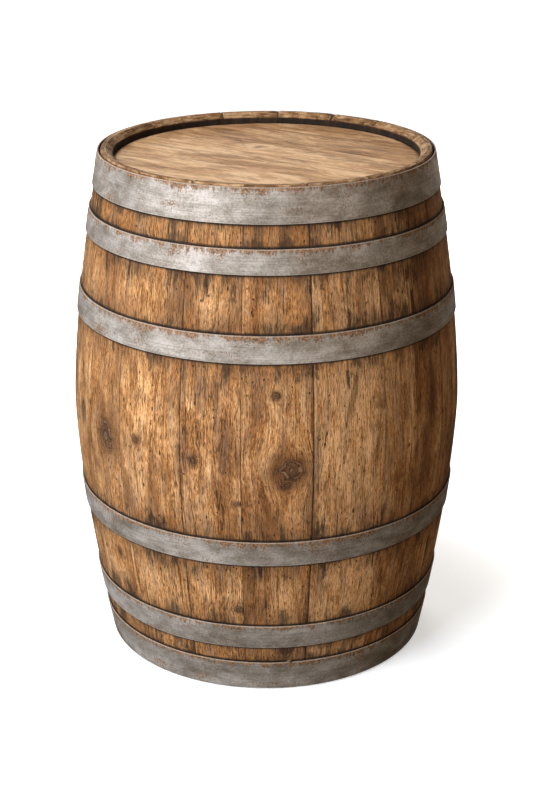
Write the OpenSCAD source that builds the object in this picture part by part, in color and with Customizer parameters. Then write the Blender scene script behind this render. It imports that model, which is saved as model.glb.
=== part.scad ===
// Oak wine barrel of about 225 litres, standing on one head.
// Staves are bent round two headings and held by six riveted steel hoops.
// Origin: centre of the bottom rim. +Z is up. The front of the barrel faces -Y.

/* [Barrel] */
// Height over the stave ends
barrel_h = 900; // [860:5:960]
// Outside radius of the wood at the bilge, the widest place
bilge_r = 344.2; // [330:0.2:360]
// Outside radius of the wood at the stave ends
end_r = 286; // [276:0.5:300]
// How full the belly is: 2 is a parabola, less makes the ends straighter
belly_power = 1.57; // [1.4:0.01:2]
// Thickness of a stave
stave_t = 27; // [24:0.5:30]
// Angle at which the first stave starts, with 0 along +X and -90 at the front
first_stave_a = -97; // [-99:0.5:-94]

/* [Chime] */
// Height of the stave ends above the head
chime_h = 19.5; // [17:0.5:26]
// Inside radius of the wall between the head and the bevel
chime_r = 263.5; // [260:0.5:266]
// Width of the inner bevel on the stave ends
inner_bevel_w = 10; // [6:0.5:12]
// Depth of the inner bevel on the stave ends
inner_bevel_h = 8; // [5:0.5:10]
// Width of the outer bevel on the stave ends
outer_bevel_w = 4.5; // [2:0.5:5]
// Depth of the outer bevel on the stave ends
outer_bevel_h = 10; // [6:0.5:12]

/* [Heads] */
// Thickness of a head
head_t = 22; // [20:0.5:25]
// Direction in which the boards of the top head run
top_grain_a = -33; // [-90:1:90]
// Direction in which the boards of the bottom head run
bottom_grain_a = 20; // [-90:1:90]
// Depth of the croze, the groove that holds the head
croze_depth = 4.5; // [4:0.5:6]
// Width of the croze at its bottom
croze_w = 7; // [5:0.5:8]
// Width of the bevel on the outside face of a head
head_bevel_w = 9; // [6:0.5:12]
// Width of the bevel on the inside face of a head
head_inner_bevel_w = 20; // [15:0.5:26]
// Diameter of the dowels that join the boards
dowel_d = 9; // [7:0.5:10]
// Length of the dowels
dowel_len = 50; // [40:1:60]

/* [Hoops] */
// Thickness of the hoop steel
hoop_t = 2.2; // [1.5:0.1:2.6]
// Width of the two head hoops
head_hoop_w = 56.5; // [50:0.5:60]
// Width of the lower quarter hoop
lower_quarter_w = 45; // [38:0.5:48]
// Width of the upper quarter hoop
upper_quarter_w = 40; // [38:0.5:48]
// Width of the two bilge hoops
bilge_hoop_w = 45; // [40:0.5:48]
// Length of the lap where a hoop's ends are riveted together
lap_len = 75; // [65:1:90]
// Diameter of a rivet's shank
rivet_d = 6; // [5:0.5:7]
// Diameter of a rivet's head
rivet_head_d = 13; // [11:0.5:15]
// Height of a rivet's head
rivet_head_h = 2.2; // [1.6:0.1:2.6]

/* [Bung] */
// Diameter of the bung at its outer end
bung_d = 52; // [48:1:56]
// Length of the bung
bung_len = 36; // [35:1:40]
// How much narrower the bung is at its inner end
bung_taper = 5; // [3:0.5:6]
// How far the bung stands out of the stave
bung_proud = 6; // [2:0.5:7]
// Clearance round the bung
bung_gap = 0.15; // [0.1:0.05:0.3]

/* [Hidden] */
smooth = 180;
small_smooth = 48;
overrun = 12;

// Staves are sawn to whatever width the oak gives, so no two neighbours match.
some_widths = [20, 22, 12.5, 14, 22.5, 18, 14, 17, 20.5, 22,
               22, 17.5, 15, 20, 16.5, 14.5, 17.5, 15.5, 21.5];
function total(list, n) = n == 0 ? 0 : list[n - 1] + total(list, n - 1);
stave_widths = concat(some_widths, [360 - total(some_widths, len(some_widths))]);
stave_count = len(stave_widths);
function stave_start(i) = first_stave_a + total(stave_widths, i);

// The bung stave is the wide one at the back.
bung_stave = 10;
bung_a = stave_start(bung_stave) + stave_widths[bung_stave] / 2;
bung_z = barrel_h / 2;
bung_tip_r = bilge_r + bung_proud;
bung_chamfer = 1.5;

// Hoops from the floor up: lower edge, width, and the angle of the riveted lap.
HOOPS = [
    ["bottom_head_hoop", 3, head_hoop_w, 118],
    ["lower_quarter_hoop", 92.3, lower_quarter_w, 124],
    ["lower_bilge_hoop", 262, bilge_hoop_w, 120],
    ["upper_bilge_hoop", barrel_h - 279.5, bilge_hoop_w, 116],
    ["upper_quarter_hoop", barrel_h - 138.3, upper_quarter_w, 123],
    ["top_head_hoop", barrel_h - 3 - head_hoop_w, head_hoop_w, 119]
];
function hoop_lo(h) = HOOPS[h][1];
function hoop_hi(h) = HOOPS[h][1] + HOOPS[h][2];
hoop_count = len(HOOPS);
rivet_place = [0.3, 0.7];
rivet_seat = 0.1;

// Three nails stop the bottom head hoop from riding up.
nail_angles = [-82.5, 37.5, 157.5];
nail_d = 2.6;
nail_len = 20;
nail_head_d = 8;
nail_head_t = 1.6;
nail_z = hoop_hi(0) + nail_d / 2;

// Widths of the boards in a head, across the grain.
board_widths = [82, 92, 98, 86, 94];
board_count = len(board_widths) + 1;
head_r = chime_r + croze_depth;
croze_gap = 0.2;
head_top = barrel_h - chime_h;
tongue_z = head_top - 8.5;
dowel_reach = [-0.5, 0.5];
function joint_y(j) = total(board_widths, j) - head_r;
function board_lo(b) = b == 0 ? -head_r - 1 : joint_y(b);
function board_hi(b) = b == board_count - 1 ? head_r + 1 : joint_y(b + 1);

function two_digits(i) = i < 10 ? str("0", i) : str(i);
STAVES = [for (i = [1:stave_count]) str("stave_", two_digits(i))];
RIVETS = [for (h = HOOPS) str(h[0], "_rivets")];
TOP_BOARDS = [for (b = [1:board_count]) str("top_head_board_", b)];
BOTTOM_BOARDS = [for (b = [1:board_count]) str("bottom_head_board_", b)];

// ---- outline of the wood ----

// Outside radius of the bent staves at height z.
function belly_r(z) = bilge_r - (bilge_r - end_r) * pow(abs(2 * z / barrel_h - 1), belly_power);

// Heights between z0 and z1 at which a stave's outline has a point, both ends left out.
function steps_between(z0, z1, pitch) =
    let (n = ceil((z1 - z0) / pitch))
    n < 2 ? [] : [for (k = [1:n - 1]) z0 + (z1 - z0) * k / n];

// A hoop sits on a straight cone, so the wood is straight from its one edge to its other.
function cone_r(h, z) =
    belly_r(hoop_lo(h)) + (belly_r(hoop_hi(h)) - belly_r(hoop_lo(h)))
    * (z - hoop_lo(h)) / (hoop_hi(h) - hoop_lo(h));

function belly_points(h) =
    [for (z = steps_between(hoop_hi(h), hoop_lo(h + 1), 40)) [belly_r(z), z]];

function outer_points() = concat(
    [[end_r - outer_bevel_w, 0],
     [cone_r(0, outer_bevel_h), outer_bevel_h],
     [belly_r(hoop_hi(0)), hoop_hi(0)]],
    belly_points(0),
    [for (h = [1:hoop_count - 2])
        each concat([[belly_r(hoop_lo(h)), hoop_lo(h)], [belly_r(hoop_hi(h)), hoop_hi(h)]],
                    belly_points(h))],
    [[belly_r(hoop_lo(hoop_count - 1)), hoop_lo(hoop_count - 1)],
     [cone_r(hoop_count - 1, barrel_h - outer_bevel_h), barrel_h - outer_bevel_h],
     [end_r - outer_bevel_w, barrel_h]]);

// One end of a stave inside, from the stave's end to below the head, as [radius, depth].
bevel_top_r = chime_r + inner_bevel_w;
croze_mid = barrel_h - tongue_z;
croze_in = croze_w / 2 + croze_gap;
croze_mouth_out = (head_top - tongue_z - croze_w / 2) * croze_depth / head_bevel_w;
croze_mouth_in =
    (tongue_z - croze_w / 2 - head_top + head_t) * croze_depth / head_inner_bevel_w;
howel_depth = 43;
howel_end = 95;
chime_points = [
    [bevel_top_r, 0],
    [chime_r, inner_bevel_h],
    [chime_r, croze_mid - croze_in - croze_mouth_out],
    [head_r, croze_mid - croze_in],
    [head_r, croze_mid + croze_in],
    [chime_r, croze_mid + croze_in + croze_mouth_in],
    [chime_r, howel_depth]
];

function inner_points() = concat(
    [for (p = chime_points) [p[0], barrel_h - p[1]]],
    [for (z = [barrel_h - howel_end, each [for (k = [1:9]) barrel_h - howel_end
        - (barrel_h - 2 * howel_end) * k / 10], howel_end]) [belly_r(z) - stave_t, z]],
    [for (k = [len(chime_points) - 1:-1:0]) chime_points[k]]);

module stave(i) {
    color(i % 3 == 0 ? "peru" : i % 3 == 1 ? "burlywood" : "tan")
        difference() {
            rotate([0, 0, stave_start(i)])
                rotate_extrude(angle = stave_widths[i], $fn = smooth)
                    polygon(concat(outer_points(), inner_points()));
            if (i == bung_stave)
                bung_hole();
            for (a = nail_angles)
                if (a > stave_start(i) && a < stave_start(i) + stave_widths[i])
                    nail_shank(a);
        }
}

// ---- hoops ----

// Stands a solid drawn along +Z on a hoop's face, square to it, at one angle round the barrel.
module on_hoop(h, a) {
    mid_z = (hoop_lo(h) + hoop_hi(h)) / 2;
    lean = atan((belly_r(hoop_hi(h)) - belly_r(hoop_lo(h))) / HOOPS[h][2]);
    rotate([0, 0, a])
        translate([cone_r(h, mid_z), 0, mid_z])
            rotate([0, 90 + lean, 0])
                children();
}

function lap_a(h) = lap_len / belly_r(hoop_lo(h)) * 180 / PI;
function rivet_a(h, k) = HOOPS[h][3] + lap_a(h) * rivet_place[k];

// One turn of the strip, as thick as the steel, lifted off the wood by some layers.
module strip(h, a, layers) {
    lift = layers * hoop_t;
    rotate([0, 0, HOOPS[h][3]])
        rotate_extrude(angle = a, $fn = smooth)
            polygon([
                [belly_r(hoop_lo(h)) + lift, hoop_lo(h)],
                [belly_r(hoop_lo(h)) + lift + hoop_t, hoop_lo(h)],
                [belly_r(hoop_hi(h)) + lift + hoop_t, hoop_hi(h)],
                [belly_r(hoop_hi(h)) + lift, hoop_hi(h)]
            ]);
}

module hoop(h) {
    color("darkgray")
        difference() {
            union() {
                strip(h, 360, 0);
                strip(h, lap_a(h), 1);
            }
            for (k = [0, 1])
                on_hoop(h, rivet_a(h, k))
                    translate([0, 0, -overrun / 2])
                        cylinder(d = rivet_d, h = overrun + 2 * hoop_t, $fn = small_smooth);
        }
}

module rivet() {
    dome_r = (pow(rivet_head_d / 2, 2) + pow(rivet_head_h, 2)) / (2 * rivet_head_h);
    translate([0, 0, rivet_seat])
        cylinder(d = rivet_d, h = 2 * hoop_t - rivet_seat, $fn = small_smooth);
    translate([0, 0, 2 * hoop_t])
        intersection() {
            cylinder(d = rivet_head_d, h = rivet_head_h, $fn = small_smooth);
            translate([0, 0, rivet_head_h - dome_r])
                sphere(r = dome_r, $fn = smooth);
        }
}

module hoop_rivets(h) {
    color("gray")
        for (k = [0, 1])
            on_hoop(h, rivet_a(h, k))
                rivet();
}

module nail_shank(a) {
    rotate([0, 0, a])
        translate([belly_r(nail_z) + hoop_t - nail_len, 0, nail_z])
            rotate([0, 90, 0])
                cylinder(d = nail_d, h = nail_len, $fn = small_smooth);
}

module nail_head(a) {
    rotate([0, 0, a])
        translate([belly_r(nail_z) + hoop_t, 0, nail_z])
            rotate([0, 90, 0])
                cylinder(d = nail_head_d, h = nail_head_t, $fn = small_smooth);
}

module hoop_nails() {
    color("sienna")
        for (a = nail_angles) {
            nail_shank(a);
            nail_head(a);
        }
}

// ---- heads ----

// A whole head at the top of the barrel: its rim is bevelled on both faces to a tongue.
module top_head_disc() {
    rotate_extrude($fn = smooth)
        polygon([
            [0, head_top],
            [head_r - head_bevel_w, head_top],
            [head_r, tongue_z + croze_w / 2],
            [head_r, tongue_z - croze_w / 2],
            [head_r - head_inner_bevel_w, head_top - head_t],
            [0, head_top - head_t]
        ]);
}

module slab(b) {
    translate([-head_r - 1, board_lo(b), head_top - head_t - 1])
        cube([2 * head_r + 2, board_hi(b) - board_lo(b), head_t + 2]);
}

module dowels_at(j) {
    half_chord = sqrt(pow(head_r, 2) - pow(joint_y(j), 2));
    for (s = dowel_reach)
        translate([s * half_chord, joint_y(j) - dowel_len / 2, head_top - head_t / 2])
            rotate([-90, 0, 0])
                cylinder(d = dowel_d, h = dowel_len, $fn = small_smooth);
}

module board(b) {
    difference() {
        intersection() {
            top_head_disc();
            slab(b);
        }
        for (j = [b, b + 1])
            if (j > 0 && j < board_count)
                dowels_at(j);
    }
}

module all_dowels() {
    for (j = [1:board_count - 1])
        dowels_at(j);
}

// Turns the top head's parts over to make the bottom head's.
module at_bottom() {
    rotate([0, 0, bottom_grain_a])
        translate([0, 0, barrel_h])
            rotate([180, 0, 0])
                children();
}

module top_board(b) {
    color(b % 2 == 0 ? "wheat" : "burlywood")
        rotate([0, 0, top_grain_a])
            board(b);
}

module bottom_board(b) {
    color(b % 2 == 0 ? "wheat" : "burlywood")
        at_bottom()
            board(b);
}

module top_head_dowels() {
    color("goldenrod")
        rotate([0, 0, top_grain_a])
            all_dowels();
}

module bottom_head_dowels() {
    color("goldenrod")
        at_bottom()
            all_dowels();
}

// ---- bung ----

// Radius of the bung at a distance from the barrel's axis.
function bung_r(x) = bung_d / 2 - bung_taper / 2 * (bung_tip_r - x) / bung_len;

module along_bung() {
    rotate([0, 0, bung_a])
        translate([0, 0, bung_z])
            rotate([0, 90, 0])
                children();
}

module bung_hole() {
    near = bung_tip_r - bung_len - overrun;
    far = bung_tip_r + overrun;
    along_bung()
        translate([0, 0, near])
            cylinder(r1 = bung_r(near) + bung_gap, r2 = bung_r(far) + bung_gap,
                     h = far - near, $fn = smooth);
}

module bung() {
    tail = bung_tip_r - bung_len;
    color("navajowhite")
        along_bung()
            rotate_extrude($fn = smooth)
                polygon([
                    [0, tail],
                    [bung_r(tail), tail],
                    [bung_r(bung_tip_r - bung_chamfer), bung_tip_r - bung_chamfer],
                    [bung_r(bung_tip_r) - bung_chamfer, bung_tip_r],
                    [0, bung_tip_r]
                ]);
}

// ---- assembly ----

for (i = [0:stave_count - 1])
    stave(i);
for (h = [0:hoop_count - 1]) {
    hoop(h);
    hoop_rivets(h);
}
for (b = [0:board_count - 1]) {
    top_board(b);
    bottom_board(b);
}
top_head_dowels();
bottom_head_dowels();
hoop_nails();
bung();
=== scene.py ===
# %% [markdown]
# # An oak wine barrel
#
# A barrel is a ring of bent boards, called staves, that steel hoops squeeze together.
# This lesson takes the fixed frame that the design gives, and makes each piece of it
# again with the looks of the real thing: weathered oak, dulled steel and a pale head.
#
# Everything is in metres, with +Z up, and the front of the barrel faces -Y.

# %% load the frame
import math

import bpy
import numpy as np
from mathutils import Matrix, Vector, noise


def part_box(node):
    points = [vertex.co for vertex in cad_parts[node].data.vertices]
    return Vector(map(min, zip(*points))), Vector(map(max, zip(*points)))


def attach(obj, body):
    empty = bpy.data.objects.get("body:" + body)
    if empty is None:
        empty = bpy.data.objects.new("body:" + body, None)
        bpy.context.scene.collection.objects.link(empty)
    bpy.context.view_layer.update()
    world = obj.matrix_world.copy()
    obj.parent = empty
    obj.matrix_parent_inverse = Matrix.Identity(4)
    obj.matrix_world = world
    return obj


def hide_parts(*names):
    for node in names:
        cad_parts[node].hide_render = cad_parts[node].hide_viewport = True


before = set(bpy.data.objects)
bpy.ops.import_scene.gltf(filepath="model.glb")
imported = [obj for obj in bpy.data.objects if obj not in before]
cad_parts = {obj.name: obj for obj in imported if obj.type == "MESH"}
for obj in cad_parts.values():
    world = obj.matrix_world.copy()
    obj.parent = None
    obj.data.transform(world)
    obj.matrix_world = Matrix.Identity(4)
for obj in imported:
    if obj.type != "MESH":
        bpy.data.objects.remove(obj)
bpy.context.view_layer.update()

# %% [markdown]
# ## Small helpers
#
# An operator acts on whatever is selected, and loading the frame leaves its nodes
# selected. So each new piece starts from an empty selection. Points are read and
# written all at once as an array, which is quicker than one vertex at a time.

# %% helpers for meshes
def start_clean():
    """Leaves nothing selected, in object mode."""
    if bpy.context.object and bpy.context.object.mode != "OBJECT":
        bpy.ops.object.mode_set(mode="OBJECT")
    bpy.ops.object.select_all(action="DESELECT")


def pick(piece):
    """Leaves only this piece selected, and makes it the active one."""
    start_clean()
    bpy.context.view_layer.objects.active = piece
    piece.select_set(True)


def named(name):
    """The piece that the last operator made, under its own name."""
    made = bpy.context.object
    made.name = name
    made.data.name = name
    return made


def points_of(piece):
    """The places of a piece's vertices, as an array of rows."""
    places = np.empty(len(piece.data.vertices) * 3)
    piece.data.vertices.foreach_get("co", places)
    return places.reshape(-1, 3)


def move_points(piece, places):
    piece.data.vertices.foreach_set("co", np.asarray(places, float).ravel())
    piece.data.update()


def edit(piece, *steps):
    """Runs edit-mode operators, each given as a function, on the whole of a piece."""
    pick(piece)
    bpy.ops.object.mode_set(mode="EDIT")
    bpy.ops.mesh.select_all(action="SELECT")
    for step in steps:
        step()
    bpy.ops.object.mode_set(mode="OBJECT")


def add_modifier(piece, kind, **settings):
    """Adds a modifier, sets it, and applies it straight away."""
    pick(piece)
    modifier = piece.modifiers.new(kind.title(), kind)
    for key, value in settings.items():
        setattr(modifier, key, value)
    bpy.ops.object.modifier_apply(modifier=modifier.name)


def outward():
    bpy.ops.mesh.normals_make_consistent(inside=False)


def write_attribute(piece, name, values):
    """Keeps one vector for each vertex under a name that a material can read."""
    layer = piece.data.attributes.new(name, "FLOAT_VECTOR", "POINT")
    layer.data.foreach_set("vector", np.asarray(values, np.float32).ravel())


def ripple(across, along, seed, octaves=2):
    """Smooth noise between about -1 and 1 at each of a list of places."""
    return np.fromiter(
        (noise.fractal((x, y, seed), 1.0, 2.0, octaves) for x, y in zip(across, along)),
        float, len(across))


def smooth_step(low, high, values):
    t = np.clip((values - low) / (high - low), 0, 1)
    return t * t * (3 - 2 * t)


# %% [markdown]
# ## What the frame says
#
# The staves' joints, the outline of the belly and the places of the hoops are all
# measured on the frame's own nodes, so that the new pieces fit it with no trial.

# %% measure the staves, the belly and the hoops
STAVES = sorted(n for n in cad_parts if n.startswith("stave_"))
HOOPS = ["bottom_head_hoop", "lower_quarter_hoop", "lower_bilge_hoop",
         "upper_bilge_hoop", "upper_quarter_hoop", "top_head_hoop"]


def polar(node):
    """Angle, radius and height of each vertex of a frame node, the angle kept whole."""
    places = points_of(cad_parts[node])
    middle = math.atan2(places[:, 1].mean(), places[:, 0].mean())
    turn = np.arctan2(places[:, 1], places[:, 0]) - middle
    angle = (turn + math.pi) % (2 * math.pi) - math.pi + middle
    return angle, np.hypot(places[:, 0], places[:, 1]), places[:, 2]


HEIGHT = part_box(STAVES[0])[1].z
BELLY_POWER = 1.57
bilge_r = max(polar(n)[1].max() for n in STAVES)
edges = [(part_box(n)[0].z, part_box(n)[1].z) for n in HOOPS]
_, radii, heights = polar(STAVES[0])
shoulder = edges[4][0]
shoulder_r = radii[np.abs(heights - shoulder) < 1e-4].max()
fullness = abs(2 * shoulder / HEIGHT - 1) ** BELLY_POWER
end_r = bilge_r - (bilge_r - shoulder_r) / fullness


def belly_r(z):
    """Outside radius of the wood at height z."""
    return bilge_r - (bilge_r - end_r) * np.abs(2 * np.asarray(z) / HEIGHT - 1) ** BELLY_POWER


print("bilge radius %.4f, end radius %.4f, height %.3f" % (bilge_r, end_r, HEIGHT))
for name, (low, high) in zip(HOOPS, edges):
    print("%-18s from %.4f to %.4f" % (name, low, high))

# %% [markdown]
# ## Materials as arithmetic
#
# A finish is mostly sums: a stain is some noise times a mask. So a node's output is
# wrapped in a small class whose plus, minus and times add the Math nodes. Colours go
# through Mix nodes instead, because a Math node would turn them grey.

# %% the shader kit
def rgb(red, green, blue):
    """A colour seen on a screen, from 0 to 255, as the linear light a shader wants."""
    def linear(c):
        c = c / 255
        return c / 12.92 if c <= 0.04045 else ((c + 0.055) / 1.055) ** 2.4
    return (linear(red), linear(green), linear(blue), 1.0)


class Socket:
    """A node's output, on which ordinary arithmetic adds Math nodes."""

    def __init__(self, paint, output):
        self.paint = paint
        self.output = output

    def also(self, name):
        """Another output of the same node."""
        return Socket(self.paint, self.output.node.outputs[name])

    def __add__(self, other):
        return self.paint.maths("ADD", self, other)

    def __sub__(self, other):
        return self.paint.maths("SUBTRACT", self, other)

    def __rsub__(self, other):
        return self.paint.maths("SUBTRACT", other, self)

    def __mul__(self, other):
        return self.paint.maths("MULTIPLY", self, other)

    def __abs__(self):
        return self.paint.maths("ABSOLUTE", self, 0.0)

    __radd__ = __add__
    __rmul__ = __mul__


class Paint:
    """A material being made. One method, node, adds any node it needs."""

    def __init__(self, name):
        self.material = bpy.data.materials.new(name)
        self.material.use_nodes = True
        self.tree = self.material.node_tree
        self.shader = self.tree.nodes["Principled BSDF"]

    def feed(self, socket, value):
        if isinstance(value, Socket):
            self.tree.links.new(value.output, socket)
        else:
            socket.default_value = value

    def node(self, kind, settings, sockets, output=0):
        made = self.tree.nodes.new(kind)
        for key, value in settings.items():
            if key == "stops":
                ramp = made.color_ramp
                while len(ramp.elements) < len(value):
                    ramp.elements.new(0.5)
                for element, (place, colour) in zip(ramp.elements, value):
                    element.position = place
                    element.color = colour
            else:
                setattr(made, key, value)
        for key, value in sockets.items():
            self.feed(made.inputs[key], value)
        return Socket(self, made.outputs[output])

    def maths(self, operation, first, second):
        return self.node("ShaderNodeMath", {"operation": operation}, {0: first, 1: second})

    def attribute(self, name):
        return self.node("ShaderNodeAttribute", {"attribute_name": name}, {}, "Vector")

    def parts(self, vector):
        split = self.node("ShaderNodeSeparateXYZ", {}, {0: vector})
        return split, split.also("Y"), split.also("Z")

    def stretch(self, vector, x, y, z=1.0):
        return self.node("ShaderNodeVectorMath", {"operation": "MULTIPLY"},
                         {0: vector, 1: (x, y, z)})

    def noise(self, vector, x, y, detail=3.0, rough=0.5, bend=0.0, z=1.0):
        """Noise with x and y lumps to the metre across and along the grain."""
        return self.node("ShaderNodeTexNoise", {},
                         {"Vector": self.stretch(vector, x, y, z), "Scale": 1.0, "Detail": detail,
                          "Roughness": rough, "Distortion": bend})

    def between(self, value, low, high):
        """0 below low, 1 above high, and smooth in between."""
        return self.node("ShaderNodeMapRange", {"interpolation_type": "SMOOTHSTEP"},
                         {"Value": value, "From Min": low, "From Max": high})

    def ramp(self, value, *stops):
        return self.node("ShaderNodeValToRGB", {"stops": stops}, {0: value})

    def mix(self, share, first, second, blend="MIX"):
        return self.node("ShaderNodeMix", {"data_type": "RGBA", "blend_type": blend},
                         {0: share, 6: first, 7: second}, 2)

    def holes(self, vector, x, y, share, small, large):
        """Small dark spots, one in the middle of some of the cells of a pattern."""
        cells = self.node("ShaderNodeTexVoronoi", {},
                          {"Vector": self.stretch(vector, x, y), "Scale": 1.0}, "Distance")
        luck, size, _ = self.parts(cells.also("Color"))
        reach = cells - size * (large - small)
        return (1 - self.between(reach, small * 0.6, small)) * self.between(luck, share, share + 0.02)

    def bump(self, height, depth, strength=1.0):
        return self.node("ShaderNodeBump", {},
                         {"Height": height, "Distance": depth, "Strength": strength})

    def finish(self, **sockets):
        for key, value in sockets.items():
            self.feed(self.shader.inputs[key.replace("_", " ")], value)
        print("material", self.material.name, "with", len(self.tree.nodes), "nodes")
        return self.material


# %% [markdown]
# ## Weathered stave oak
#
# Old stave oak has three scales of grain: broad bands of growth, streaks a few
# millimetres wide, and pores like pencil dashes. Each is noise stretched along the
# board. Every stave carries a vector called grain, its own place on its own board,
# which already bends round the knots, so one material serves all the staves.
# Grime gathers in the joints, a dark band and a line of painted shadow lie beside the hoops,
# and painted shade darkens the chime wall, so each stave also carries how far every point
# is from them.

# %% the stave oak
def stave_oak():
    p = Paint("stave_oak")
    grain = p.attribute("grain")
    hoop_gap, knot, inside = p.parts(p.attribute("wear"))
    tone, joint_gap, end = p.parts(p.attribute("board"))

    bands = p.noise(grain, 24, 1.6, 4, 0.6, 0.3)
    streaks = p.noise(grain, 300, 13, 5, 0.72, 0.2)
    fibre = p.noise(grain, 900, 120, 3, 0.75)
    mottle = p.noise(grain, 30, 12, 6, 0.70, 0.5)
    shade = bands * 0.16 + streaks * 0.32 + mottle * 0.24 + fibre * 0.28 + tone
    colour = p.ramp(shade,
                    (0.430, rgb(80, 49, 21)), (0.474, rgb(132, 87, 45)),
                    (0.510, rgb(164, 119, 73)), (0.556, rgb(202, 161, 116)))

    # A thin grey skin of weather lies over part of the wood.
    weather = p.between(p.noise(grain, 80, 10, 6, 0.72), 0.48, 0.60)
    colour = p.mix(weather * 0.40, colour, rgb(130, 110, 90))

    # Old stains: broad soft patches of darker brown, broken up by the grain.
    patch = p.noise(grain, 14, 5, 6, 0.68, 0.4) + streaks * 0.80 + fibre * 0.40
    colour = p.mix(p.between(patch, 1.11, 1.24) * 0.72, colour, rgb(76, 46, 20))
    dark_streaks = p.between(p.noise(grain, 210, 8, 5, 0.70), 0.55, 0.65)
    colour = p.mix(dark_streaks * 0.50, colour, rgb(80, 52, 28))
    pores = p.between(p.noise(grain, 560, 70, 3, 0.65), 0.56, 0.64)
    colour = p.mix(pores * 0.68, colour, rgb(58, 36, 18))
    lines = p.between(p.noise(grain, 520, 9, 3, 0.6), 0.60, 0.68)
    colour = p.mix(lines * 0.74, colour, rgb(42, 26, 13))

    # Fine splits follow the line where a noise passes through its middle value.
    wander = p.noise(grain, 46, 2.4, 3, 0.5, 0.4)
    where = p.between(p.noise(grain, 20, 4, 2, 0.5), 0.52, 0.62)
    splits = (1 - p.between(abs(wander - 0.5), 0.002, 0.008)) * where
    colour = p.mix(splits * 0.70, colour, rgb(40, 25, 14))

    # Short dark checks and worm holes sit in a few of the cells of Voronoi patterns.
    checks = p.holes(grain, 62, 26, 0.55, 0.05, 0.14)
    worm = p.holes(grain, 110, 85, 0.70, 0.07, 0.19)
    pits = p.maths("MAXIMUM", checks, worm)
    colour = p.mix(pits * 0.88, colour, rgb(24, 15, 9))

    # A knot is an eye of darker wood with broken rings, in a halo of darker grain.
    swirl = p.noise(grain, 90, 60, 4, 0.65)
    blurred = knot + (swirl - 0.5) * 1.1
    rings = p.maths("SINE", blurred * 11, 0.0)
    core = 1 - p.between(blurred, 0.55, 1.25)
    halo = 1 - p.between(knot - mottle * 1.1, 0.2, 1.7)
    colour = p.mix(halo * (0.40 + streaks * 0.50), colour, rgb(70, 43, 21))
    colour = p.mix(core * (0.70 + rings * 0.24), colour, rgb(32, 19, 10))
    scratch = p.between(rings + swirl * 1.4, 1.35, 1.8) * core
    colour = p.mix(scratch * 0.45, colour, rgb(158, 124, 92))

    # A broken dark band lies by each hoop. In the chime the same mask paints shade on the inner wall,
    # darkest towards the head.
    edge = hoop_gap - (mottle - 0.46) * 0.24 - (streaks - 0.5) * 0.16 - (fibre - 0.5) * 0.06
    hoop_band_and_recess_shade = (1 - p.between(edge, -0.024, 0.022)) * (0.50 + mottle * 0.60)
    colour = p.mix(hoop_band_and_recess_shade, colour, rgb(36, 20, 8))

    # The sawn ends show short dashes of growth, and the inside was toasted over a fire.
    sawn = (p.noise(grain, 50, 1, 4, 0.7, 0.2, 360) * 0.6
            + p.noise(grain, 26, 1, 4, 0.6, 0.0, 30) * 0.4) + tone
    sawn_oak = p.ramp(sawn, (0.41, rgb(80, 54, 31)), (0.50, rgb(130, 97, 64)),
                      (0.58, rgb(170, 140, 106)))
    colour = p.mix(end, colour, sawn_oak)
    toast = p.mix(mottle, rgb(38, 23, 13), rgb(92, 58, 32))
    colour = p.mix(inside, colour, toast)

    # A black line of painted shadow lies where a hoop touches and at the foot of the chime wall, and grime
    # makes a dark line down each joint.
    painted_contact_shadow = (1 - p.between(hoop_gap, 0.0014, 0.0062)) * (1 - end)
    colour = p.mix(painted_contact_shadow * 0.92, colour, rgb(8, 5, 3))
    dirt = (1 - p.between(joint_gap, 0.0, 0.014)) * p.between(mottle, 0.44, 0.62)
    colour = p.mix(dirt * 0.5, colour, rgb(66, 41, 21))
    joint = 1 - p.between(joint_gap, 0.0003, 0.0014)
    colour = p.mix(joint * 0.85, colour, rgb(18, 11, 7))

    relief = (streaks * 0.6 + fibre * 0.45 + mottle * 0.4 - pores * 0.4 - splits * 0.9
              - pits * 1.4 + rings * core * 0.16)
    return p.finish(Base_Color=colour, Roughness=0.74 + mottle * 0.2,
                    Normal=p.bump(relief, 0.0024, 0.9), Specular_IOR_Level=0.25)


stave_finish = stave_oak()

# %% [markdown]
# ## The pale head
#
# The head lies under cover of the rim, so it keeps the honey colour of planed oak.
# Its boards meet so closely that the joints hardly show, and the grain swirls more
# than on a stave.

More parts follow.
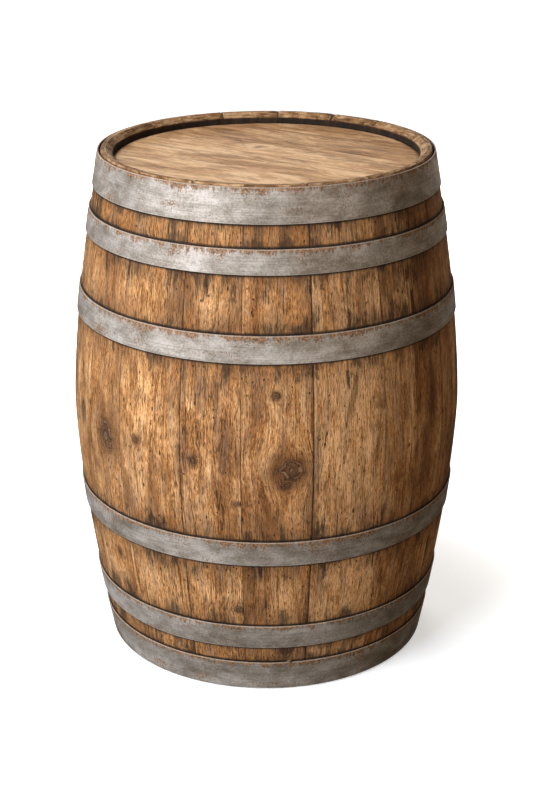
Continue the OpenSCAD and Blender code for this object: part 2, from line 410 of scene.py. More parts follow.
# %% the head oak
def head_oak():
    p = Paint("head_oak")
    grain = p.attribute("grain")
    tone, joint_gap, end = p.parts(p.attribute("board"))
    _, knot, _ = p.parts(p.attribute("wear"))
    bands = p.noise(grain, 16, 3.2, 5, 0.6, 1.2)
    streaks = p.noise(grain, 110, 9, 5, 0.70, 0.6)
    fibre = p.noise(grain, 700, 70, 3, 0.7)
    mottle = p.noise(grain, 34, 11, 6, 0.66, 0.9)
    shade = bands * 0.30 + streaks * 0.24 + mottle * 0.26 + fibre * 0.20 + tone
    colour = p.ramp(shade,
                    (0.42, rgb(116, 79, 46)), (0.465, rgb(154, 112, 73)),
                    (0.510, rgb(180, 139, 97)), (0.570, rgb(216, 180, 140)))
    brown = p.between(p.noise(grain, 70, 6.0, 6, 0.72, 1.1), 0.55, 0.63)
    colour = p.mix(brown * 0.66, colour, rgb(92, 60, 33))
    grey = p.between(p.noise(grain, 36, 9, 6, 0.70, 0.6), 0.53, 0.63)
    colour = p.mix(grey * 0.40, colour, rgb(116, 94, 74))
    pores = p.between(p.noise(grain, 420, 40, 4, 0.7), 0.58, 0.66)
    colour = p.mix(pores * 0.45, colour, rgb(88, 58, 33))
    halo = 1 - p.between(knot, 0.7, 2.6)
    colour = p.mix(halo * (0.15 + streaks * 0.5), colour, rgb(100, 66, 38))
    core = 1 - p.between(knot + mottle * 0.5, 0.7, 1.4)
    colour = p.mix(core * 0.7, colour, rgb(58, 36, 20))
    joint = 1 - p.between(joint_gap, 0.0002, 0.0009)
    colour = p.mix(joint * 0.4, colour, rgb(84, 56, 34))
    # Painted shade darkens the head's bevelled rim, at the foot of the chime wall.
    colour = p.mix(end, colour, rgb(84, 60, 38))
    relief = streaks * 0.5 + fibre * 0.4 + mottle * 0.3 - pores * 0.3
    return p.finish(Base_Color=colour, Roughness=0.66 + mottle * 0.2,
                    Normal=p.bump(relief, 0.0010, 0.6), Specular_IOR_Level=0.3)


head_finish = head_oak()

# %% [markdown]
# ## Dulled galvanised steel
#
# Hoop steel starts bright and zinc grey. Outdoors the zinc dulls in clouds, rolling
# marks run along the strip, and rust starts as freckles and at the edges. Rust isn't
# a metal, so where there is rust the Metallic value falls and the roughness rises.

# %% the hoop steel
def hoop_steel(name, grey_shift=0.0, rust_share=0.0):
    p = Paint(name)
    strip = p.attribute("strip")
    edge, high_edge, _ = p.parts(p.attribute("edge"))
    cloud = p.noise(strip, 26, 40, 6, 0.66, 0.3)
    blotch = p.noise(strip, 7, 14, 4, 0.6, 0.5)
    rolled = p.noise(strip, 6, 520, 4, 0.6)
    speck = p.noise(strip, 260, 260, 4, 0.65)
    shade = cloud * 0.32 + blotch * 0.30 + rolled * 0.16 + speck * 0.22 + grey_shift
    colour = p.ramp(shade,
                    (0.42, rgb(94, 86, 78)), (0.48, rgb(117, 111, 104)),
                    (0.52, rgb(134, 129, 124)), (0.58, rgb(154, 150, 146)))
    dark = p.between(p.noise(strip, 50, 26, 6, 0.72), 0.53, 0.66)
    colour = p.mix(dark * 0.36, colour, rgb(80, 69, 57))

    # Rust starts as freckles, and hangs in short runs from the upper edge.
    patchy = p.noise(strip, 18, 30, 4, 0.6)
    fleck = p.noise(strip, 420, 300, 4, 0.7)
    freckles = p.between(fleck + patchy * 0.7, 0.96 - rust_share, 1.01)
    runs = p.between(p.noise(strip, 120, 16, 5, 0.75) - high_edge * 20 + patchy * 0.5 + fleck * 0.3,
                     0.76 - rust_share, 0.84)
    lines = p.between(p.noise(strip, 150, 7, 3, 0.6) + patchy * 0.5, 0.92 - rust_share, 0.99)
    rust = p.maths("MAXIMUM", p.maths("MAXIMUM", freckles, runs), lines * 0.5)
    orange = p.mix(p.between(speck, 0.4, 0.6), rgb(54, 36, 18), rgb(130, 88, 46))
    colour = p.mix(rust * 0.84, colour, orange)
    worn = 1 - p.between(edge, 0.0003, 0.0018)
    colour = p.mix(worn * 0.30, colour, rgb(196, 188, 178))
    relief = cloud * 0.4 + speck * 0.4 + rolled * 0.15 + rust * 0.4
    return p.finish(Base_Color=colour, Metallic=0.30 - rust * 0.28,
                    Roughness=0.50 + blotch * 0.20 + rust * 0.25,
                    Normal=p.bump(relief, 0.0007, 0.45))


hoop_finish = hoop_steel("hoop_steel")
rivet_finish = hoop_steel("rivet_steel", -0.05, 0.05)
nail_finish = hoop_steel("nail_steel", -0.04, 0.30)


# %% the small woods: dowels and bung
def turned_wood(name, light, dark):
    """A small turned piece reads its own place, with the grain running along Y."""
    p = Paint(name)
    place = p.node("ShaderNodeTexCoord", {}, {}, "Object")
    turned = p.node("ShaderNodeMapping", {"vector_type": "POINT"},
                    {"Vector": place, "Rotation": (math.pi / 2, 0.0, 0.2)})
    streaks = p.noise(turned, 260, 30, 4, 0.6)
    mottle = p.noise(turned, 40, 40, 4, 0.6)
    colour = p.ramp(streaks * 0.6 + mottle * 0.4, (0.38, dark), (0.62, light))
    return p.finish(Base_Color=colour, Roughness=0.6 + mottle * 0.25,
                    Normal=p.bump(streaks, 0.0005, 0.5))


dowel_finish = turned_wood("dowel_oak", rgb(222, 184, 138), rgb(160, 116, 74))
bung_finish = turned_wood("bung_wood", rgb(206, 164, 118), rgb(120, 80, 48))


def dress(piece, finish, slot, body, *nodes):
    """Gives a finished piece its material and its body, and hides the nodes it stands for."""
    piece.data.materials.clear()
    piece.data.materials.append(finish)
    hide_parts(*nodes)
    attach(piece, body)


# %% [markdown]
# ## A stave from one outline
#
# A real stave is split, hollowed, bevelled and bent. Here its long section is drawn
# once as a closed outline of radius and height: the belly outside, the flat end, the
# bevel, the croze groove for the head, and the hollow back. A filled circle gives the
# outline its points, and the spin operator turns it through the stave's own angle.

# %% the outline of a stave
CHIME_R, CHIME_TOP_R, RIM_R = 0.2635, 0.2735, end_r - 0.0045
OUTER_BEVEL, INNER_BEVEL = 0.010, 0.008
CROZE_R = 0.268
CROZE_DEPTHS = (0.0218, 0.0243, 0.0317, 0.0342)
HOWEL, HOWEL_END, THICKNESS = 0.043, 0.095, 0.027
ROW = 0.0025


def along_line(a, b, count):
    """Points from a up to but not including b."""
    return [tuple(np.add(a, np.subtract(b, a) * k / count)) for k in range(count)]


def chime_side():
    """One end inside, as (radius, depth below the stave end)."""
    groove = list(zip((CHIME_R, CROZE_R, CROZE_R, CHIME_R), CROZE_DEPTHS))
    return (along_line((RIM_R, 0.0), (CHIME_TOP_R, 0.0), 5)
            + along_line((CHIME_TOP_R, 0.0), (CHIME_R, INNER_BEVEL), 6)
            + along_line((CHIME_R, INNER_BEVEL), groove[0], 6)
            + groove + [(CHIME_R, HOWEL)])


def stave_outline():
    bevel_r = float(belly_r(OUTER_BEVEL))
    rows = np.linspace(OUTER_BEVEL, HEIGHT - OUTER_BEVEL, round(HEIGHT / ROW))
    outside = [(float(belly_r(z)), float(z)) for z in rows[1:-1]]
    up = along_line((RIM_R, 0.0), (bevel_r, OUTER_BEVEL), 4)[1:] + [(bevel_r, OUTER_BEVEL)]
    down = along_line((bevel_r, HEIGHT - OUTER_BEVEL), (RIM_R, HEIGHT), 4)
    hollow = [(float(belly_r(z)) - THICKNESS, float(z))
              for z in np.linspace(HEIGHT - HOWEL_END, HOWEL_END, 24)]
    top = [(r, HEIGHT - depth) for r, depth in chime_side()]
    bottom = chime_side()[::-1]
    return up + outside + down + top + hollow + bottom


def spun(name, outline, start, width, steps):
    """Turns a closed outline of (radius, height) about Z, from one angle through another.

    Part of a turn keeps its outline filled at both ends; a whole turn has no ends to fill.
    """
    whole = width > 2 * math.pi - 1e-6
    start_clean()
    bpy.ops.mesh.primitive_circle_add(vertices=len(outline), fill_type="NOTHING" if whole else "NGON")
    piece = named(name)
    move_points(piece, [(r * math.cos(start), r * math.sin(start), z) for r, z in outline])
    edit(piece,
         lambda: bpy.ops.mesh.spin(steps=steps, angle=-width, center=(0, 0, 0), axis=(0, 0, 1)),
         lambda: bpy.ops.mesh.select_all(action="SELECT"),
         lambda: bpy.ops.mesh.remove_doubles(threshold=1e-6),
         lambda: bpy.ops.mesh.delete_loose(use_verts=False, use_edges=True, use_faces=False),
         outward)
    return piece


print("a stave's outline has", len(stave_outline()), "points")

# %% [markdown]
# ## Knots and wear
#
# A knot is where a branch grew. The grain parts and flows round it like water round a
# stone, so the place that a point has on its board is pushed away from each knot.

# %% knots by angle round the barrel, height, half width and half height
KNOTS = [
    (-83.2, 0.440, 0.024, 0.020), (-84.6, 0.414, 0.009, 0.009), (-142.5, 0.446, 0.021, 0.034),
    (-129.5, 0.462, 0.007, 0.009), (-110.6, 0.450, 0.008, 0.011), (-87.3, 0.567, 0.008, 0.008),
    (-158.0, 0.462, 0.010, 0.018), (-142.5, 0.224, 0.007, 0.008), (-98.2, 0.171, 0.008, 0.008),
    (-84.0, 0.082, 0.010, 0.008), (-97.2, 0.378, 0.010, 0.004), (-28.5, 0.210, 0.010, 0.014),
    (-10.0, 0.530, 0.012, 0.016), (24.0, 0.360, 0.016, 0.022), (61.0, 0.610, 0.012, 0.016),
    (74.0, 0.240, 0.013, 0.017), (112.0, 0.700, 0.009, 0.010), (133.0, 0.420, 0.018, 0.024),
    (168.0, 0.300, 0.012, 0.017), (186.0, 0.560, 0.012, 0.016),
]
# How light each stave is, and how open the joint where it starts is.
TONES = [-0.002, 0.030, 0.020, 0.000, 0.004, 0.010, -0.014, 0.004, -0.016, -0.020,
         0.020, -0.008, 0.004, -0.016, 0.010, -0.004, 0.000, -0.004, 0.010, 0.004]
OPENNESS = [0.18, 1.5, 0.30, 0.50, 0.60, 0.50, 0.70, 0.40, 0.60, 2.2,
            1.2, 0.7, 0.40, 0.80, 0.50, 0.60, 0.60, 0.25, 0.22, 0.9]


# How much wood each kind of wear takes: along the joints, round the knots, at the ends.
EASED, EASED_WIDTH, WAVE, GRAIN, STEP = 0.0010, 0.0026, 0.00030, 0.00016, 0.0004
KNOT_DISH, KNOT_RIB = 0.0007, 0.0002
END_WEAR, END_STEP, END_ROUGH, END_NICK, NICK_WIDTH = 0.0004, 0.0005, 0.0003, 0.0016, 0.0030


def round_places(piece, middle):
    """Angle, kept whole round a middle angle, and radius and height of each point."""
    places = points_of(piece)
    turn = np.arctan2(places[:, 1], places[:, 0]) - middle
    angle = (turn + math.pi) % (2 * math.pi) - math.pi + middle
    return angle, np.hypot(places[:, 0], places[:, 1]), places[:, 2]


def put_back(piece, angle, radius, height):
    move_points(piece, np.column_stack((radius * np.cos(angle), radius * np.sin(angle), height)))


def knots_near(start, stop):
    """The knots on one stave, as (across, height, half width, half height)."""
    middle = (start + stop) / 2
    found = []
    for degrees, height, half_w, half_h in KNOTS:
        turn = (math.radians(degrees) - middle + math.pi) % (2 * math.pi) - math.pi
        if abs(turn) < (stop - start) / 2:
            found.append((turn * float(belly_r(height)), height, half_w, half_h))
    return found


def hoop_distance(height):
    """How far each height is from the nearest hoop: 0 under one."""
    gaps = [np.maximum(np.maximum(low - height, height - high), 0) for low, high in edges]
    return np.min(gaps, axis=0)


HEAD_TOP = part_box("top_head_board_3")[1].z


def joint_distance(angle, radius, start, stop, number):
    """Distance from the nearer joint, made to seem further where the joint is a tight one."""
    open_here, open_next = OPENNESS[number], OPENNESS[(number + 1) % len(OPENNESS)]
    return np.minimum((angle - start) * radius / open_here, (stop - angle) * radius / open_next)


def weather_stave(piece, start, stop, number):
    """Eases a stave's long edges and wears its outside; only ever takes wood away."""
    seed = number + 1
    middle = (start + stop) / 2
    angle, radius, height = round_places(piece, middle)
    share = (angle - start) / (stop - start)
    share = np.clip(share - 0.09 * np.sin(2 * math.pi * share), 0, 1)
    angle = start + share * (stop - start)
    across = (angle - middle) * radius
    outside = smooth_step(0.004, 0.001, belly_r(height) - radius)
    side = joint_distance(angle, radius, start, stop, number)
    chips = 1 + 0.8 * ripple(height * 38, across * 0, seed)
    drop = EASED * chips * (1 - smooth_step(0.0, EASED_WIDTH, side))
    drop += WAVE * (1 + ripple(across * 9, height * 3.2, seed + 5))
    drop += GRAIN * (1 + ripple(across * 120, height * 4.5, seed + 9))
    drop += STEP * abs(math.sin(seed * 2.7))
    for x, z, half_w, half_h in knots_near(start, stop):
        reach = np.hypot((across - x) / half_w, (height - z) / half_h)
        bump = np.exp(-reach ** 2 * 1.2) * (0.5 + 0.5 * np.cos(reach * 9))
        drop += KNOT_DISH * np.exp(-(reach - 1.1) ** 2 * 6) - KNOT_RIB * bump
    radius = radius - np.clip(drop, 0.0001, 0.004) * outside
    at_end = smooth_step(0.0125, 0.003, np.minimum(height, HEIGHT - height))
    worn_end = (END_WEAR + END_STEP * abs(math.sin(seed * 1.9))
                + END_ROUGH * ripple(across * 70, radius * 70, seed + 3)
                + END_NICK * (1 - smooth_step(0.0, NICK_WIDTH, side)))
    # The bottom end stands on the floor, so only the top end loses height.
    top = smooth_step(HEIGHT - 0.012, HEIGHT - 0.003, height)
    height = height - np.clip(worn_end, 0, 0.003) * at_end * top
    put_back(piece, angle, radius, height)


def mark_stave(piece, start, stop, number):
    """Writes what the oak needs to know at each point of a stave."""
    seed = number + 1
    middle = (start + stop) / 2
    angle, radius, height = round_places(piece, middle)
    across = (angle - middle) * radius
    flow = across + 0.0030 * ripple(across * 4, height * 4, seed)
    nearest = np.full(len(across), 3.0)
    for x, z, half_w, half_h in knots_near(start, stop):
        dx, dz = across - x, height - z
        nearest = np.minimum(nearest, np.hypot(dx / half_w, dz / half_h))
        pull = np.exp(-(dx / (2.0 * half_w)) ** 2 - (dz / (1.9 * half_h)) ** 2)
        flow = flow - 0.60 * dx * pull
    write_attribute(piece, "grain", np.column_stack(
        (flow + seed * 7.31, height + seed * 3.17, radius + seed * 1.7)))
    deep = belly_r(height) - radius
    chime = (deep > 0.012) & (height > HEAD_TOP - 0.03)
    # Beside the hoops gap is the distance to the nearest hoop; in the chime it is made to shrink towards
    # the head, so that the oak paints shade into the recess above the head.
    gap = np.where(deep < 0.008, hoop_distance(height),
                   np.where(chime, 0.5 * (height - HEAD_TOP) - 0.002, 0.2))
    inside = smooth_step(0.012, 0.016, deep) * (np.abs(height - HEIGHT / 2) < HEIGHT / 2 - 0.036)
    write_attribute(piece, "wear", np.column_stack((gap, nearest, inside)))
    side = joint_distance(angle, radius, start, stop, number)
    end = (np.minimum(height, HEIGHT - height) < INNER_BEVEL + 0.0012) & (deep > 0.003)
    write_attribute(piece, "board", np.column_stack(
        (np.full(len(side), TONES[number]), side, end)))


# %% build the staves
COLUMN = 0.0019
outline = stave_outline()
staves = []
for number, node in enumerate(STAVES):
    angles, _, _ = polar(node)
    start, stop = angles.min(), angles.max()
    steps = round((stop - start) * bilge_r / COLUMN)
    stave = spun("oak_" + node, outline, start, stop - start, steps)
    weather_stave(stave, start, stop, number)
    staves.append((stave, start, stop))
print(len(staves), "staves,", sum(len(s[0].data.polygons) for s in staves), "faces")

# %% [markdown]
# ## The bung and its hole
#
# The hole is burned and reamed to a taper, and the bung is turned to the same taper,
# so pushing it in wedges it. The hole is cut here with a Boolean, with a cutter spun
# from the same two radii.

# %% measure and turn the bung, and cut its hole
bung_places = points_of(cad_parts["bung"])
bung_a = math.atan2(*(bung_places.mean(0)[1::-1]))
bung_out = bung_places @ np.array((math.cos(bung_a), math.sin(bung_a), 0.0))
bung_side = np.hypot(bung_places @ np.array((-math.sin(bung_a), math.cos(bung_a), 0.0)),
                     bung_places[:, 2] - HEIGHT / 2)
bung_tip, bung_tail = bung_out.max(), bung_out.min()
tail_r = bung_side[bung_out < bung_tail + 1e-4].max()
wide_r = bung_side.max()


def aim_at_bung(piece):
    """Lays a piece drawn along +Z on the line of the bung hole."""
    places = points_of(piece)
    out, side, up = places[:, 2], places[:, 0], places[:, 1]
    move_points(piece, np.column_stack((
        out * math.cos(bung_a) - side * math.sin(bung_a),
        out * math.sin(bung_a) + side * math.cos(bung_a), up + HEIGHT / 2)))


def tapered(name, points, steps=64):
    piece = spun(name, points, 0.0, 2 * math.pi, steps)
    aim_at_bung(piece)
    edit(piece, outward)
    return piece


slope = (wide_r - tail_r) / (bung_tip - bung_tail)
GAP, REACH = 0.00015, 0.02
low, high = bung_tail - REACH, bung_tip + REACH
cutter = tapered("cutter", [
    (0.0, low), (tail_r - slope * REACH + GAP, low), (wide_r + slope * REACH + GAP, high), (0.0, high)])
bung_stave = staves[[s[1] < bung_a < s[2] for s in staves].index(True)][0]
add_modifier(bung_stave, "BOOLEAN", operation="DIFFERENCE", object=cutter, solver="EXACT")
bpy.data.objects.remove(cutter)

CROWN, LIP = 0.0008, 0.0015
face = [(wide_r * k / 9, bung_tip - CROWN * (k / 9) ** 2) for k in range(8, 0, -1)]
bung = tapered("turned_bung",
               [(0.0, bung_tail + 0.001), (tail_r - 0.002, bung_tail + 0.001), (tail_r, bung_tail + 0.003)]
               + along_line((tail_r, bung_tail + 0.004), (wide_r, bung_tip - LIP), 12)
               + [(wide_r, bung_tip - LIP), (wide_r - 0.0005, bung_tip - 0.0008)]
               + face + [(0.0, bung_tip)])
dress(bung, bung_finish, "bung_wood", "bung", "bung")

for number, (stave, start, stop) in enumerate(staves):
    mark_stave(stave, start, stop, number)
    pick(stave)
    bpy.ops.object.shade_smooth_by_angle(angle=math.radians(24))
    dress(stave, stave_finish, "stave_oak", "barrel", stave.name[len("oak_"):])
print("bung", round(wide_r * 2000, 1), "mm across; its stave is", bung_stave.name)

# %% [markdown]
# ## Hoops rolled from flat bar
#
# A cooper cuts flat bar, snips its corners, punches it, rolls it up and rivets the lap.
# The pieces here are made in that order, but no holes are punched. A grid gives the flat
# bar, Solidify gives it the steel's thickness and Bevel rounds its edges. Rolling is a change
# of place: length along the bar becomes angle, and the last part climbs over the first to
# make the lap.

# %% roll the hoops
HOOP_T, LAP, SNIP, CLIMB = 0.0022, 0.075, 0.006, 0.030
HOOP_WAVE, HOOP_DENT = 0.00016, 0.00025
LAP_STARTS = [math.radians(a) for a in (118, 124, 120, 116, 123, 119)]


def flat_bar(name, length, width):
    start_clean()
    bpy.ops.mesh.primitive_grid_add(x_subdivisions=round(length / 0.004), y_subdivisions=10, size=1.0)
    bar = named(name)
    places = points_of(bar)
    along = (places[:, 0] + 0.5) * length
    to_end = np.minimum(along, length - along)
    narrow = 1 - np.maximum(SNIP - to_end, 0) / (width / 2)
    move_points(bar, np.column_stack((along, places[:, 1] * width * narrow, along * 0)))
    add_modifier(bar, "SOLIDIFY", thickness=HOOP_T, offset=-1.0)
    add_modifier(bar, "BEVEL", width=0.0005, segments=2, limit_method="ANGLE")
    edit(bar, outward)
    return bar


def roll_up(bar, low, high, lap_start, seed):
    """Bends the bar round the barrel between two heights, and writes its attributes."""
    places = points_of(bar)
    along, across, depth = places[:, 0], places[:, 1], places[:, 2] - places[:, 2].min()
    length, width = along.max(), high - low
    turn = length - LAP
    middle_r = turn / (2 * math.pi)
    to_edge = np.minimum(width / 2 - np.abs(across), np.minimum(along, length - along))
    write_attribute(bar, "strip", np.column_stack((along + seed * 5.3, across, along * 0 + seed)))
    write_attribute(bar, "edge", np.column_stack((to_edge, width / 2 - across, along * 0)))
    height = (low + high) / 2 + across
    cone = np.interp(height, [low, high], [float(belly_r(low)), float(belly_r(high))])
    climb = smooth_step(turn - CLIMB, turn - 0.002, along) * (HOOP_T + 0.0001)
    angle = lap_start + along / middle_r
    wave = HOOP_WAVE * (1 + ripple(3 * np.cos(angle), 3 * np.sin(angle) + height * 12, seed))
    dents = HOOP_DENT * np.maximum(ripple(along * 11, across * 22, seed + 4) - 0.25, 0)
    radius = cone + depth + climb + wave - dents
    put_back(bar, angle, radius, height)


hoops = []
for number, (node, (low, high), lap_start) in enumerate(zip(HOOPS, edges, LAP_STARTS)):
    girth = math.pi * float(belly_r(low) + belly_r(high))
    hoop = flat_bar("steel_" + node, girth + LAP, high - low)
    roll_up(hoop, low, high, lap_start, number + 1)
    edit(hoop, outward)
    bpy.ops.object.shade_smooth_by_angle(angle=math.radians(40))
    dress(hoop, hoop_finish, "hoop_steel", "barrel", node)
    hoops.append(hoop)
print(len(hoops), "hoops,", sum(len(h.data.polygons) for h in hoops), "faces")

# %% [markdown]
# ## Rivets and nails
#
# Each lap has two rivets. The head is hammered to a dome, so it isn't quite round.
# Three nails stop the bottom head hoop from creeping up the belly.

# %% rivets and nails
RIVET_PLACES = (0.3, 0.7)
RIVET_R, RIVET_HEAD_R, RIVET_HEAD_H = 0.003, 0.0065, 0.0022
NAIL_ANGLES = [math.radians(a) for a in (-82.5, 37.5, 157.5)]
NAIL_R, NAIL_HEAD_R, NAIL_HEAD_H = 0.0013, 0.004, 0.0016


def hammered(name, shank_r, head_r, head_h, depth, seed):
    """A pin with a domed head, drawn along +Z with the underside of its head at 0."""
    dome = [(head_r * math.cos(t), 0.0004 + (head_h - 0.0004) * math.sin(t))
            for t in np.linspace(0, math.pi / 2, 9)[:-1]]
    pin = spun(name, [(0.0, -depth), (shank_r, -depth), (shank_r, 0.0), (head_r * 0.96, 0.0)]
               + dome + [(0.0, head_h)], 0.0, 2 * math.pi, 32)
    places = points_of(pin)
    knocks = ripple(places[:, 0] * 260, places[:, 1] * 260, seed)
    above = places[:, 2] > 0.0002
    places[above, :2] *= (1 - 0.06 * np.abs(knocks[above]))[:, None]
    places[above, 2] *= 1 - 0.14 * np.abs(knocks[above])
    move_points(pin, places)
    return pin


def drive_in(pin, angle, radius, height, lean, seed):
    """Stands a pin on the barrel's side at one angle, with its head outwards."""
    x, y, z = points_of(pin).T
    write_attribute(pin, "strip", np.column_stack((x + seed, y, z)))
    write_attribute(pin, "edge", np.column_stack((z * 0 + 0.004, z * 0 + 0.02, z)))
    out = radius + z * math.cos(lean) - y * math.sin(lean)
    up = height + y * math.cos(lean) + z * math.sin(lean)
    side_x, side_y = -math.sin(angle), math.cos(angle)
    move_points(pin, np.column_stack((out * math.cos(angle) + x * side_x,
                                      out * math.sin(angle) + x * side_y, up)))


def join(name, pieces):
    start_clean()
    for piece in pieces:
        piece.select_set(True)
    bpy.context.view_layer.objects.active = pieces[0]
    bpy.ops.object.join()
    joined = named(name)
    edit(joined, outward)
    bpy.ops.object.shade_smooth_by_angle(angle=math.radians(50))
    return joined


for number, (node, (low, high), lap_start) in enumerate(zip(HOOPS, edges, LAP_STARTS)):
    middle, lean = (low + high) / 2, -math.atan2(float(belly_r(high) - belly_r(low)), high - low)
    cone = float(belly_r(low) + belly_r(high)) / 2
    lap_angle = LAP / float(belly_r(low))
    pins = []
    for place in RIVET_PLACES:
        seed = number + place
        pin = hammered("pin", RIVET_R, RIVET_HEAD_R, RIVET_HEAD_H, 0.0035, seed)
        drive_in(pin, lap_start + lap_angle * place, cone + 2 * HOOP_T + 0.0003, middle, lean, seed)
        pins.append(pin)
    rivets = join("steel_" + node + "_rivets", pins)
    dress(rivets, rivet_finish, "rivet_steel", "barrel", node + "_rivets")

nail_z = (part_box("hoop_nails")[0].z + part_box("hoop_nails")[1].z) / 2
nail_face = float(belly_r(nail_z)) + HOOP_T
pins = []
for number, angle in enumerate(NAIL_ANGLES):
    pin = hammered("pin", NAIL_R, NAIL_HEAD_R, NAIL_HEAD_H, 0.0178, 9 + number)
    drive_in(pin, angle, nail_face, nail_z, 0.0, 9 + number)
    pins.append(pin)
nails = join("steel_nails", pins)
dress(nails, nail_finish, "nail_steel", "barrel", "hoop_nails")
print("rivets and nails in place")

# %% [markdown]
# ## The heads
#
# A head is boards dowelled edge to edge and then turned round, with its rim bevelled
# to a tongue for the croze groove. Here each board is planed with its edges eased, and
# is then cut to the round with a Boolean. The turned solid that cuts it is thicker than
# the board, so no two faces lie in one plane. Then the board cups and settles by a hair.

# %% saw the heads into boards
HEAD_R, HEAD_T, HEAD_BEVEL, INNER_HEAD_BEVEL = 0.268, 0.022, 0.009, 0.020
TONGUE = (0.8755, 0.8685)
JOINTS = [-0.186, -0.094, 0.004, 0.090, 0.184]
TOP_TURN, BOTTOM_TURN = math.radians(-33), math.radians(20)
HEAD_KNOTS = {"top": [(-0.0480, 0.0470, 0.0045, 0.008), (-0.0965, -0.0810, 0.0022, 0.0022)],
              "bottom": [(0.070, -0.040, 0.006, 0.010)]}
CUP, RAISED_GRAIN, BOARD_STEP = 0.0003, 0.00012, 0.00018
# How light each head board is: partly each board's own tone, partly painted light, which makes the boards
# towards the front left lighter, as the light falls there.
BOARD_TONES_AND_LIGHT = [0.055, 0.046, 0.026, 0.000, -0.008, -0.006]


def head_cutter():
    """A turned solid a little thicker than the head, with the head's bevelled rim."""
    low, over = HEAD_TOP - HEAD_T, 0.001
    top_r = HEAD_R - HEAD_BEVEL * (1 + over / (HEAD_TOP - TONGUE[0]))
    bottom_r = HEAD_R - INNER_HEAD_BEVEL * (1 + over / (TONGUE[1] - low))
    return spun("cutter", [(0.0, low - over), (bottom_r, low - over), (HEAD_R, TONGUE[1]),
                           (HEAD_R, TONGUE[0]), (top_r, HEAD_TOP + over), (0.0, HEAD_TOP + over)],
                0.0, 2 * math.pi, 240)


def plank(name, low, high):
    """A board as long as the head is wide, in small squares so that it can warp."""
    start_clean()
    bpy.ops.mesh.primitive_grid_add(x_subdivisions=90, y_subdivisions=24, size=1.0)
    board = named(name)
    places = points_of(board)
    share = places[:, 1] + 0.5
    share = share - 0.08 * np.sin(2 * math.pi * share)
    move_points(board, np.column_stack((
        places[:, 0] * (2 * HEAD_R + 0.01), low + share * (high - low), share * 0 + HEAD_TOP)))
    add_modifier(board, "SOLIDIFY", thickness=HEAD_T, offset=-1.0)
    add_modifier(board, "BEVEL", width=0.0005, segments=2, limit_method="ANGLE")
    edit(board, outward)
    return board


def head_board(cutter, name, number, head):
    low = JOINTS[number - 1] if number > 0 else -HEAD_R - 0.005
    high = JOINTS[number] if number < len(JOINTS) else HEAD_R + 0.005
    board = plank(name, low, high)
    add_modifier(board, "BOOLEAN", operation="INTERSECT", object=cutter, solver="EXACT")
    x, y, z = points_of(board).T
    seed = number * 3.1 + (40 if head == "bottom" else 0)
    face = smooth_step(HEAD_TOP - 0.004, HEAD_TOP - 0.0005, z)
    side = np.minimum(y - low, high - y)
    cup = CUP * (2 * (y - low) / (high - low) - 1) ** 2
    grown = (RAISED_GRAIN * (1 + ripple(y * 60, x * 3, seed))
             + BOARD_STEP * abs(math.sin(seed * 5)))
    flow = y + 0.010 * ripple(x * 3.5, y * 5, seed) + seed * 1.37
    nearest = np.full(len(x), 3.0)
    for knot_x, knot_y, half_l, half_w in HEAD_KNOTS[head]:
        if low < knot_y < high:
            dx, dy = x - knot_x, y - knot_y
            nearest = np.minimum(nearest, np.hypot(dx / half_l, dy / half_w))
            pull = np.exp(-(dx / (9 * half_l)) ** 2 - (dy / (3.2 * half_w)) ** 2)
            flow = flow - 0.75 * dy * pull
    write_attribute(board, "grain", np.column_stack((flow, x + seed, z * 0 + seed)))
    write_attribute(board, "wear", np.column_stack((z * 0 + 0.2, nearest, z * 0)))
    # The rim mask marks painted shade on the head's bevelled rim, at the foot of the chime wall.
    rim = smooth_step(HEAD_R - HEAD_BEVEL + 0.0005, HEAD_R - HEAD_BEVEL + 0.002, np.hypot(x, y))
    write_attribute(board, "board", np.column_stack(
        (z * 0 + BOARD_TONES_AND_LIGHT[number], side, rim * 0.5)))
    z = z - face * (cup + grown)
    if head == "top":
        turn = TOP_TURN
    else:
        turn, y, z = BOTTOM_TURN, -y, HEIGHT - z
    move_points(board, np.column_stack((x * math.cos(turn) - y * math.sin(turn),
                                        x * math.sin(turn) + y * math.cos(turn), z)))
    edit(board, outward)
    bpy.ops.object.shade_smooth_by_angle(angle=math.radians(35))
    return board


cutter = head_cutter()
for head in ("top", "bottom"):
    for number in range(len(JOINTS) + 1):
        node = "%s_head_board_%d" % (head, number + 1)
        board = head_board(cutter, "oak_" + node, number, head)
        dress(board, head_finish, "head_oak", "barrel", node)
bpy.data.objects.remove(cutter)

for node in ("top_head_dowels", "bottom_head_dowels"):
    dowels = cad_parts[node]
    dowels.data.materials.clear()
    dowels.data.materials.append(dowel_finish)
print("both heads have", len(JOINTS) + 1, "boards")
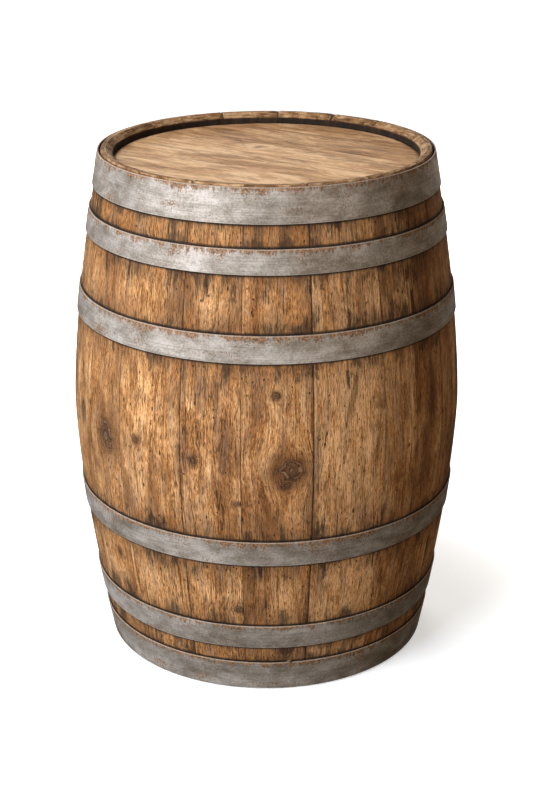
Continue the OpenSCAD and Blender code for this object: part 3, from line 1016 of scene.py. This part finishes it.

# %% [markdown]
# ## Floor, light and camera
#
# The floor is a white sheet that glows, as for a catalogue picture. The glow is painted light:
# dimmer near the barrel and full white further out, so the lamps' shadow shows only close by.
# It throws no light on the barrel, so the barrel's shaded side stays dark. One large soft
# lamp stands at the front left, one higher at the side, one behind, and weak ones fill in.
# A great white ball round everything is the backdrop, and it throws no light either.

# %% floor
FLOOR_SIZE, BACKDROP_R = 60, 28
NEAR, FAR = 0.34, 0.74
NEAR_GLOW, FAR_GLOW = (0.46, 0.46, 0.46, 1.0), (1.0, 1.0, 1.0, 1.0)
start_clean()
bpy.ops.mesh.primitive_plane_add(size=FLOOR_SIZE)
floor = named("floor")
floor_paint = Paint("floor")
place = floor_paint.node("ShaderNodeTexCoord", {}, {}, "Object")
away = floor_paint.node("ShaderNodeVectorMath", {"operation": "LENGTH"}, {0: place}, "Value")
glow = floor_paint.mix(floor_paint.between(away, NEAR, FAR), NEAR_GLOW, FAR_GLOW)
floor.data.materials.append(floor_paint.finish(
    Base_Color=(0.70, 0.76, 0.84, 1.0), Roughness=0.9, Emission_Color=glow, Emission_Strength=1.0))
start_clean()
bpy.ops.mesh.primitive_uv_sphere_add(radius=BACKDROP_R)
backdrop = named("backdrop")
backdrop.data.materials.append(floor.data.materials[0])
backdrop.visible_shadow = False
for sheet in (floor, backdrop):
    sheet.visible_diffuse = False
    sheet.visible_glossy = False

# %% light
SKY_COLOUR, SKY_STRENGTH = (1.0, 0.84, 0.68, 1.0), 0.06
world = bpy.data.worlds.new("sky")
world.use_nodes = True
world.node_tree.nodes["Background"].inputs["Color"].default_value = SKY_COLOUR
world.node_tree.nodes["Background"].inputs["Strength"].default_value = SKY_STRENGTH
bpy.context.scene.world = world
AIM = Vector((0.0, 0.0, 0.4))
LAMP_DISTANCE = 3.6


def soft_light(name, azimuth, elevation, size, watts, colour=(1.0, 1.0, 1.0)):
    """A round lamp at a compass angle, where 0 is the front and 90 the right."""
    turn, rise = math.radians(azimuth), math.radians(elevation)
    back = Vector((math.sin(turn) * math.cos(rise), -math.cos(turn) * math.cos(rise), math.sin(rise)))
    lamp = bpy.data.lights.new(name, "AREA")
    lamp.shape = "DISK"
    lamp.size = size
    lamp.energy = watts
    lamp.color = colour
    light = bpy.data.objects.new(name, lamp)
    bpy.context.collection.objects.link(light)
    light.location = AIM + back * LAMP_DISTANCE
    light.rotation_euler = back.to_track_quat("Z", "Y").to_euler()


soft_light("key", -44, 16, 2.2, 232)
soft_light("side", -66, 54, 2.0, 94)
soft_light("fill", 31, 16, 2.4, 46, (1.0, 0.76, 0.52))
soft_light("back", 188, 11, 2.0, 120, (1.0, 0.92, 0.82))
soft_light("kick", 146, 12, 2.4, 24, (1.0, 0.86, 0.72))

# %% camera
camera = bpy.data.objects.new("camera", bpy.data.cameras.new("camera"))
bpy.context.collection.objects.link(camera)
camera.location = (0.0, -2.876, 1.553)
camera.rotation_euler = (math.radians(68.67), 0.0, 0.0)
camera.data.lens = 76.7
camera.data.sensor_width = 36.0
bpy.context.scene.camera = camera
bpy.context.scene.view_settings.view_transform = "Standard"
